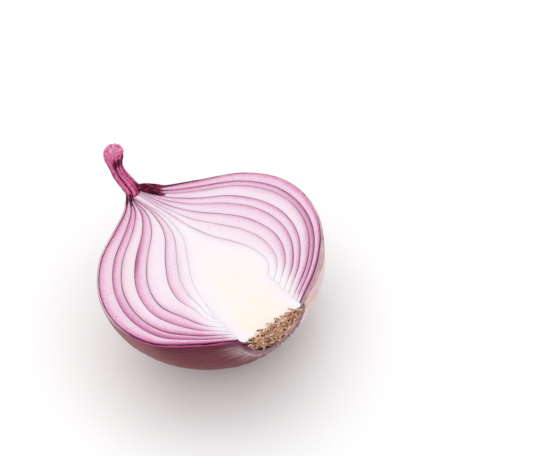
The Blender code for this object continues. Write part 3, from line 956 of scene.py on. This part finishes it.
def tube_faces(rings, sides):
    """The faces of a tube whose two ends are fans round a middle point."""
    ids = np.arange(rings * sides).reshape(rings, sides)
    ring = np.hstack([ids, ids[:, :1]])
    quads = np.stack([ring[:-1, :-1], ring[1:, :-1], ring[1:, 1:], ring[:-1, 1:]], -1)
    first, last = rings * sides, rings * sides + 1
    start = [(first, b, a) for a, b in zip(ring[0], ring[0, 1:])]
    stop = [(last, a, b) for a, b in zip(ring[-1], ring[-1, 1:])]
    return [tuple(int(i) for i in face) for face in (*quads.reshape(-1, 4), *start, *stop)]


def tube(spine, half_width, half_height, sides, creases, shake):
    """Points, faces and values of a closed tube. The spine is in the bulb's own terms."""
    rings = len(spine)
    path = world(spine[:, 0], spine[:, 1], CUT_HEIGHT + spine[:, 2])
    along, under, across = tube_frames(path)
    turn = np.linspace(0, 2 * math.pi, sides, endpoint=False)[None]
    steps = np.linalg.norm(np.diff(path, axis=0), axis=1)
    travelled = np.concatenate([[0], np.cumsum(steps)]) / MM
    crease = np.zeros((rings, sides))
    for number, size, phase in creases:
        swing = CREASE_SWING * np.sin(travelled / 4.0 + phase)[:, None]
        crease += size * (1 - np.abs(np.sin((number * turn + phase + swing) / 2))) ** 3
    spread = across[:, None] * (half_width[:, None] * np.cos(turn))[..., None]
    spread = spread + under[:, None] * (half_height[:, None] * np.sin(turn))[..., None]
    plain = path[:, None] + spread * MM
    shaken = rough(plain, COARSE_PACE, 1) + 0.5 * rough(plain, FINE_PACE, 2)
    pull = 1 - CREASE_PULL * crease + shake * shaken
    points = (path[:, None] + spread * pull[..., None] * MM).reshape(-1, 3)
    thin = np.minimum(half_width, half_height) * MM
    start = path[0] - along[0] * thin[0] * START_BULGE
    stop = path[-1] + along[-1] * thin[-1] * STOP_BULGE
    return {"points": np.vstack([points, start, stop]), "faces": tube_faces(rings, sides),
            "turn": turn, "crease": crease, "travelled": travelled, "rings": rings, "sides": sides}


def with_caps(grid, made, start, stop):
    """A value for each point of a tube's rings, then one for the middle of each end."""
    whole = np.broadcast_to(grid, (made["rings"], made["sides"])).ravel()
    return np.concatenate([whole, [start, stop]])


print("noise at the origin:", rough(np.zeros((1, 3)), 1.0, 1).round(3))

# %% The stub, with its path as (height, side, rise over the cut face) in millimetres
NECK_PATH = ((67.2, 1.3, -3.9), (69.8, 1.4, -3.0), (71.5, 2.0, -1.7), (74.4, 2.0, -0.7),
             (77.6, 1.7, 0.9), (79.5, 1.5, 3.7), (80.3, 1.4, 7.1), (80.5, 1.4, 9.9),
             (80.5, 1.4, 12.3))
NECK_HALF_WIDTHS = (1.9, 2.6, 2.75, 2.55, 2.4, 2.4, 3.15, 3.4, 2.95)
NECK_RINGS = 150
NECK_SIDES = 132
NECK_CREASES = ((6, 0.62, 0.4), (9, 0.5, 2.1), (14, 0.3, 4.4))
NECK_SHAKE = 0.05
KNOB_CALM = 0.75
# Strength of the painted shade on the knob, and the turn of the tube that faces away from the lamp.
KNOB_SHADE, SHADED_TURN = 0.55, -1.2


def stub_part():
    """The bent stub: dark at its foot, creased along, smooth and pale at its knob, with painted
    shade on the knob's side away from the lamp.
    """
    spine = smooth_curve(NECK_PATH, NECK_RINGS)
    wide = smooth_curve([(width, 0) for width in NECK_HALF_WIDTHS], NECK_RINGS)[:, 0]
    position = np.linspace(0, 1, NECK_RINGS)
    wide = wide * np.sqrt((1 - ease(position, 0.88, 1.0) ** 2).clip(0.03))
    flatten = 1 - 0.12 * ease(position, 0.0, 0.4)
    made = tube(spine, wide, wide * flatten, NECK_SIDES, NECK_CREASES, NECK_SHAKE)
    knob = ease(position, 0.66, 0.8)[:, None]
    up = made["points"][:-2, 2].reshape(NECK_RINGS, NECK_SIDES) / MM - CUT_HEIGHT
    crease = made["crease"] * (1 - KNOB_CALM * knob)
    foot = (1 - ease(made["travelled"], 5.2, 8.2))[:, None] * ease(np.cos(made["turn"]), -0.2, 0.6)
    # Painted shade on the knob's side away from the lamp. It is added to the crease value, so the
    # finish darkens it with the crease colour.
    shaded_side = ease(np.cos(made["turn"] - SHADED_TURN), -0.1, 0.9)
    shaded = KNOB_SHADE * ease(position, 0.55, 0.75)[:, None] * shaded_side
    shaded = shaded * (1 - ease(up, 7.5, 11.5))
    made["values"] = {
        "crease": with_caps(crease + shaded, made, 0, 0),
        "tip": with_caps(ease(up, 9.0, 13.5), made, 0, 1),
        "dark": with_caps(foot, made, 1, 0),
        "turn": with_caps(made["turn"], made, 0, 0),
        "along_mm": with_caps(made["travelled"][:, None], made, 0, made["travelled"][-1]),
    }
    return made


# %% The dried scale tips, as ((height, side, rise) ..., half width at each)
TIPS = (
    (((72.2, 3.0, -0.9), (69.6, 5.6, 0.0), (67.9, 7.3, 0.15), (66.0, 9.2, 0.1), (64.0, 11.1, -0.1)),
     (1.0, 0.95, 0.75, 0.6, 0.12)),
    (((72.0, 2.6, -0.7), (69.4, 4.6, 0.25), (66.8, 6.5, 0.2), (65.2, 7.7, 0.1), (63.7, 8.8, -0.1)),
     (1.1, 0.9, 0.7, 0.6, 0.12)),
    (((71.6, 1.9, -0.6), (68.8, 3.9, 0.3), (65.9, 5.5, 0.3), (63.6, 7.0, 0.15), (61.2, 8.6, -0.1)),
     (1.1, 1.0, 0.95, 0.6, 0.1)),
    (((71.9, 3.4, -1.2), (69.8, 4.9, 0.5), (68.0, 6.0, 0.5), (66.4, 7.2, 0.1)),
     (0.8, 0.9, 0.7, 0.15)),
    (((70.4, -1.5, -0.5), (69.0, -2.6, 0.0), (67.6, -3.9, 0.0), (65.4, -6.2, -0.2)),
     (0.35, 0.4, 0.3, 0.08)),
    (((70.2, -0.6, -0.4), (68.4, -1.5, 0.0), (66.5, -2.7, 0.0), (63.8, -4.7, -0.2)),
     (0.35, 0.42, 0.3, 0.08)),
)
TIP_RINGS = 34
TIP_SIDES = 20
TIP_CREASES = ((4, 0.6, 0.3), (7, 0.4, 1.9))
TIP_FLATNESS = 0.55
TIP_SHAKE = 0.22
TIP_RED = 0.35


def tip_part(path, widths):
    """A flat dark tip, drawn to a point, that turns redder towards it."""
    spine = smooth_curve(path, TIP_RINGS)
    wide = smooth_curve([(width, 0) for width in widths], TIP_RINGS)[:, 0]
    made = tube(spine, wide, wide * TIP_FLATNESS, TIP_SIDES, TIP_CREASES, TIP_SHAKE)
    reddish = TIP_RED * ease(np.linspace(0, 1, TIP_RINGS), 0.55, 1.0)[:, None]
    made["values"] = {
        "crease": with_caps(made["crease"], made, 0, 0), "tip": with_caps(0.0, made, 0, 0),
        "dark": with_caps(1 - reddish, made, 1, 0.6), "turn": with_caps(made["turn"], made, 0, 0),
        "along_mm": with_caps(made["travelled"][:, None], made, 0, made["travelled"][-1]),
    }
    return made


def joined(parts):
    """Several tubes as the points, faces and values of one piece."""
    points, faces, before = [], [], 0
    for part in parts:
        points.append(part["points"])
        faces += [tuple(i + before for i in face) for face in part["faces"]]
        before += len(part["points"])
    labels = parts[0]["values"]
    values = {label: np.concatenate([part["values"][label] for part in parts])
              for label in labels}
    return np.vstack(points), faces, values


neck_parts = [stub_part()] + [tip_part(path, widths) for path, widths in TIPS]
neck_points, neck_faces, neck_values = joined(neck_parts)
stub = mesh_piece("dried_neck_stub", neck_points, neck_faces, NECK, neck_values)
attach(stub, "root")
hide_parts("neck")
report(stub)

# %% [markdown]
# ## The tuft of roots
#
# Dozens of short dry roots stand matted together under the stem disc. No two are alike, but they
# follow one rule, which is work for Geometry Nodes: scatter points over a small mat, put a bent
# tapering strand on each, turn and stretch every one at random from a fixed seed, and make the
# result real so that it exports as a plain mesh.

# %% Root material
ROOT_PAINT = {
    "strand": seen(206, 136, 106), "pale strand": seen(255, 224, 192), "dark patch": seen(100, 46, 28),
    "mat": seen(34, 8, 6), "light mat": seen(96, 44, 30),
}


def root_finish():
    finish, tree, shader = new_finish("dry roots")
    strand = value_of(tree, "strand")
    cloud = speckle(tree, place(tree), 900.0, 3.0)
    colour = tint(tree, strand, ROOT_PAINT["strand"], ROOT_PAINT["pale strand"])
    # Darker patches at random over the strands.
    colour = tint(tree, remap(tree, cloud, 0.5, 0.66), colour, ROOT_PAINT["dark patch"])
    tree.links.new(colour, shader.inputs["Base Color"])
    shader.inputs["Roughness"].default_value = 0.8
    raise_bump(tree, shader, cloud, 0.0002, 0.6)
    return finish


def mat_finish():
    finish, tree, shader = new_finish("root mat")
    cloud = speckle(tree, place(tree), 700.0, 4.0)
    colour = tint(tree, cloud, ROOT_PAINT["mat"], ROOT_PAINT["light mat"])
    tree.links.new(colour, shader.inputs["Base Color"])
    shader.inputs["Roughness"].default_value = 0.9
    raise_bump(tree, shader, cloud, 0.0005, 1.0)
    return finish


ROOTS, MAT = root_finish(), mat_finish()

# %% The mat that the roots stand on
TUFT_HALF_WIDTH = 9.6
TUFT_DEPTH = 6.4
TUFT_PAD = 1.2
TUFT_DOME = 0.7
TUFT_GAP = 0.05


def root_mat():
    """A thin domed mat under the stem disc, a hair's breadth away from it."""
    reach = np.linspace(0.0, 1.0, 14)[:, None]
    turn = np.linspace(0, math.pi, 41)[None]
    side = TUFT_HALF_WIDTH * reach * np.cos(turn)
    below = TUFT_DEPTH * reach * np.sin(turn)
    near = world(-TUFT_GAP, side, CUT_HEIGHT - TUFT_GAP - below)
    far = world(-TUFT_PAD + TUFT_DOME * reach ** 3, side, CUT_HEIGHT - TUFT_GAP - below)
    return block_piece("root_mat", np.stack([near, far], 2), MAT, {})


mat = root_mat()
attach(mat, "root")
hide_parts("root_tuft")
report(mat)

# %% [markdown]
# The tree below has named inputs for its sizes. Four kinds of strand, each a tapering tube along a
# bent curve, go into one list. Every scattered point picks a kind, lays it sideways, turns it a
# little and stretches it. A random number per strand rides along for the colour.

# %% Geometry Nodes tree for the strands
STRAND_BENDS = (
    ((0.2, 0.0, 0.7), (1.2, 0.4, 1.3), (3.2, 0.6, 1.0)),
    ((-0.2, -0.2, 0.8), (-1.2, 0.5, 1.4), (-3.0, -0.4, 0.9)),
    ((0.3, 0.3, 0.6), (1.0, -0.6, 1.1), (2.4, -1.2, 1.2)),
    ((-0.2, 0.4, 0.6), (-1.3, 0.9, 1.0), (-2.6, 1.0, 0.8)),
)
STRAND_SIZES = {"Strands per square metre": 3.3e6, "Strand radius": 0.00033, "Strand size": 0.75}
STRAND_SEED = 5
STRAND_SIDES, STRAND_STEPS, STRAND_TAPER = 6, 6, 0.45
OUTWARD, OUTWARD_LIMIT = (0.8, 0, 0.6), 0.3
SWING = (-0.5, -0.4, -0.6), (0.5, 0.4, 0.6)
STRETCH = (0.7, 0.7, 0.5), (1.3, 1.3, 1.2)


def socket_in(tree, name, kind, default):
    """A named input of the tree."""
    made = tree.interface.new_socket(name, in_out="INPUT", socket_type=kind)
    made.default_value = default
    return made


def strand_kinds(tree, given):
    """The kinds of bent tapering strand, as a list of instances."""
    factor = put(tree, "GeometryNodeSplineParameter").outputs["Factor"]
    slim = put(tree, "ShaderNodeMapRange", {"Value": factor, "To Min": 1.0, "To Max": STRAND_TAPER})
    ring = put(tree, "GeometryNodeCurvePrimitiveCircle", mode="RADIUS", values={
        "Resolution": STRAND_SIDES, "Radius": given.outputs["Strand radius"]})
    kinds = tree.nodes.new("GeometryNodeGeometryToInstance")
    for bend in STRAND_BENDS:
        first, second, last = (tuple(value * MM for value in point) for point in bend)
        segment = put(tree, "GeometryNodeCurvePrimitiveBezierSegment",
                      {"Resolution": STRAND_STEPS, "Start": (0, 0, 0), "Start Handle": first,
                       "End Handle": second, "End": last})
        radius = put(tree, "GeometryNodeSetCurveRadius",
                     {"Curve": segment.outputs[0], "Radius": slim.outputs[0]})
        strand = put(tree, "GeometryNodeCurveToMesh", {
            "Curve": radius.outputs[0], "Profile Curve": ring.outputs[0], "Fill Caps": True})
        tree.links.new(strand.outputs[0], kinds.inputs[0])
    return kinds


def random_value(tree, kind, seed, sockets=(), limits=()):
    """A random value for each point; sockets are the numbers of its two limits."""
    made = put(tree, "FunctionNodeRandomValue", {"Seed": seed}, data_type=kind)
    for socket, limit in zip(sockets, limits):
        made.inputs[socket].default_value = limit
    return made


def scattered_points(tree, given, seed):
    """Points on the faces that look away from the bulb."""
    normal = put(tree, "GeometryNodeInputNormal").outputs[0]
    facing = put(tree, "ShaderNodeVectorMath", {0: normal, 1: OUTWARD}, operation="DOT_PRODUCT")
    outside = put(tree, "FunctionNodeCompare", {0: facing.outputs["Value"], 1: OUTWARD_LIMIT},
                  data_type="FLOAT", operation="GREATER_THAN")
    return put(tree, "GeometryNodeDistributePointsOnFaces",
               {"Mesh": given.outputs["Geometry"], "Selection": outside.outputs[0],
                "Density": given.outputs["Strands per square metre"], "Seed": seed})


def strand_tree(finish, seed):
    """Scatter, pick, turn and stretch the strands, and make them real."""
    tree = bpy.data.node_groups.new("root strands", "GeometryNodeTree")
    tree.is_modifier = True
    tree.interface.new_socket("Geometry", in_out="INPUT", socket_type="NodeSocketGeometry")
    for name, size in STRAND_SIZES.items():
        socket_in(tree, name, "NodeSocketFloat", size)
    tree.interface.new_socket("Geometry", in_out="OUTPUT", socket_type="NodeSocketGeometry")
    given = tree.nodes.new("NodeGroupInput")
    scatter = scattered_points(tree, given, seed)
    kinds = strand_kinds(tree, given)
    pick = random_value(tree, "INT", seed + 1, (4, 5), (0, len(STRAND_BENDS) - 1))
    swing = random_value(tree, "FLOAT_VECTOR", seed + 2, (0, 1), SWING)
    stretch = random_value(tree, "FLOAT_VECTOR", seed + 3, (0, 1), STRETCH)
    sideways = put(tree, "FunctionNodeAxesToRotation", {0: scatter.outputs["Normal"], 1: (0, 1, 0)},
                   primary_axis="Z", secondary_axis="X")
    turned = put(tree, "FunctionNodeRotateRotation",
                 {"Rotation": sideways.outputs[0], "Rotate By": swing.outputs[0]},
                 rotation_space="LOCAL")
    sized = put(tree, "ShaderNodeVectorMath",
                {0: stretch.outputs[0], "Scale": given.outputs["Strand size"]}, operation="SCALE")
    placed = put(tree, "GeometryNodeInstanceOnPoints",
                 {"Points": scatter.outputs["Points"], "Instance": kinds.outputs[0],
                  "Pick Instance": True, "Instance Index": pick.outputs[2],
                  "Rotation": turned.outputs[0], "Scale": sized.outputs[0]})
    shade = random_value(tree, "FLOAT", seed + 4)
    marked = put(tree, "GeometryNodeStoreNamedAttribute",
                 {"Geometry": placed.outputs[0], "Name": "strand", "Value": shade.outputs[1]},
                 data_type="FLOAT", domain="INSTANCE")
    real = put(tree, "GeometryNodeRealizeInstances", {0: marked.outputs[0]})
    dressed = put(tree, "GeometryNodeSetMaterial", {0: real.outputs[0], "Material": finish})
    out = tree.nodes.new("NodeGroupOutput")
    tree.links.new(dressed.outputs[0], out.inputs[0])
    return tree


def grow(base, name, tree, sizes):
    """Run a tree on a copy of a mesh and return the result as a plain mesh piece."""
    carrier = bpy.data.objects.new(name + "_carrier", base.data.copy())
    bpy.context.scene.collection.objects.link(carrier)
    modifier = carrier.modifiers.new(name, "NODES")
    modifier.node_group = tree
    for item in tree.interface.items_tree:
        if item.item_type == "SOCKET" and item.in_out == "INPUT" and item.name in sizes:
            modifier[item.identifier] = sizes[item.name]
    depsgraph = bpy.context.evaluated_depsgraph_get()
    mesh = bpy.data.meshes.new_from_object(carrier.evaluated_get(depsgraph))
    carrier.modifiers.remove(modifier)
    bpy.data.objects.remove(carrier)
    mesh.name = name
    mesh.shade_smooth()
    piece = bpy.data.objects.new(name, mesh)
    bpy.context.scene.collection.objects.link(piece)
    return piece


rootlets = grow(mat, "root_strands", strand_tree(ROOTS, STRAND_SEED), STRAND_SIZES)
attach(rootlets, "root")
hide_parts("root_tuft")
report(rootlets)

# %% [markdown]
# ## Board, light and camera
#
# Food is photographed on white under broad soft light, so that wet flesh glows and shows no hard
# shadow. A pale floor, a bright even surround and one large lamp overhead do that. The camera is
# far away with a long lens, which keeps the half's proportions true.

# %% Floor
FLOOR_HALF = 12.0
FLOOR_PAINT = (0.93, 0.93, 0.93, 1)


def floor_finish():
    finish, tree, shader = new_finish("pale floor")
    shader.inputs["Base Color"].default_value = FLOOR_PAINT
    shader.inputs["Roughness"].default_value = 0.7
    shader.inputs["Specular IOR Level"].default_value = 0.2
    return finish


floor_mesh = bpy.data.meshes.new("floor")
corners = [(-FLOOR_HALF, -FLOOR_HALF, 0), (FLOOR_HALF, -FLOOR_HALF, 0),
           (FLOOR_HALF, FLOOR_HALF, 0), (-FLOOR_HALF, FLOOR_HALF, 0)]
floor_mesh.from_pydata(corners, [], [(0, 1, 2, 3)])
floor_mesh.materials.append(floor_finish())
floor = bpy.data.objects.new("floor", floor_mesh)
bpy.context.scene.collection.objects.link(floor)

# %% Light
LAMP_TARGET = Vector((0, 0, 0.03))
surround = bpy.data.worlds.new("white studio")
surround.use_nodes = True
surround.node_tree.nodes["Background"].inputs["Color"].default_value = (1.0, 1.0, 1.0, 1)
surround.node_tree.nodes["Background"].inputs["Strength"].default_value = 1.0
bpy.context.scene.world = surround
bpy.context.scene.view_settings.view_transform = "Standard"


def soft_lamp(name, spot, width, power):
    """A large square lamp that looks at the onion."""
    lamp = bpy.data.lights.new(name, "AREA")
    lamp.shape = "SQUARE"
    lamp.size = width
    lamp.energy = power
    holder = bpy.data.objects.new(name, lamp)
    holder.location = spot
    holder.rotation_euler = (LAMP_TARGET - Vector(spot)).to_track_quat("-Z", "Y").to_euler()
    holder.visible_camera = False
    bpy.context.scene.collection.objects.link(holder)
    return holder


soft_lamp("overhead", (-0.6, 0.1, 1.1), 1.2, 4.0)

# %% Camera
VIEW_AZIMUTH = 49.8
VIEW_ELEVATION = 51.0
MM_PER_PIXEL = 0.318
FRAME_PIXELS = 547
CAMERA_AWAY = 2.6
SENSOR_WIDTH = 36.0
AIM = Vector((-0.45, 18.0, CUT_HEIGHT)) * MM


def photo_camera():
    azimuth, elevation = math.radians(VIEW_AZIMUTH), math.radians(VIEW_ELEVATION)
    back = Vector((math.sin(azimuth) * math.cos(elevation),
                   -math.cos(azimuth) * math.cos(elevation), math.sin(elevation)))
    data = bpy.data.cameras.new("camera")
    data.sensor_width = SENSOR_WIDTH
    data.lens = SENSOR_WIDTH * CAMERA_AWAY / (FRAME_PIXELS * MM_PER_PIXEL * MM)
    data.clip_end = 20.0
    camera = bpy.data.objects.new("camera", data)
    camera.location = AIM + back * CAMERA_AWAY
    camera.rotation_mode = "QUATERNION"
    camera.rotation_quaternion = (-back).to_track_quat("-Z", "Y")
    bpy.context.scene.collection.objects.link(camera)
    bpy.context.scene.camera = camera
    return camera


print("lens in mm:", round(photo_camera().data.lens))
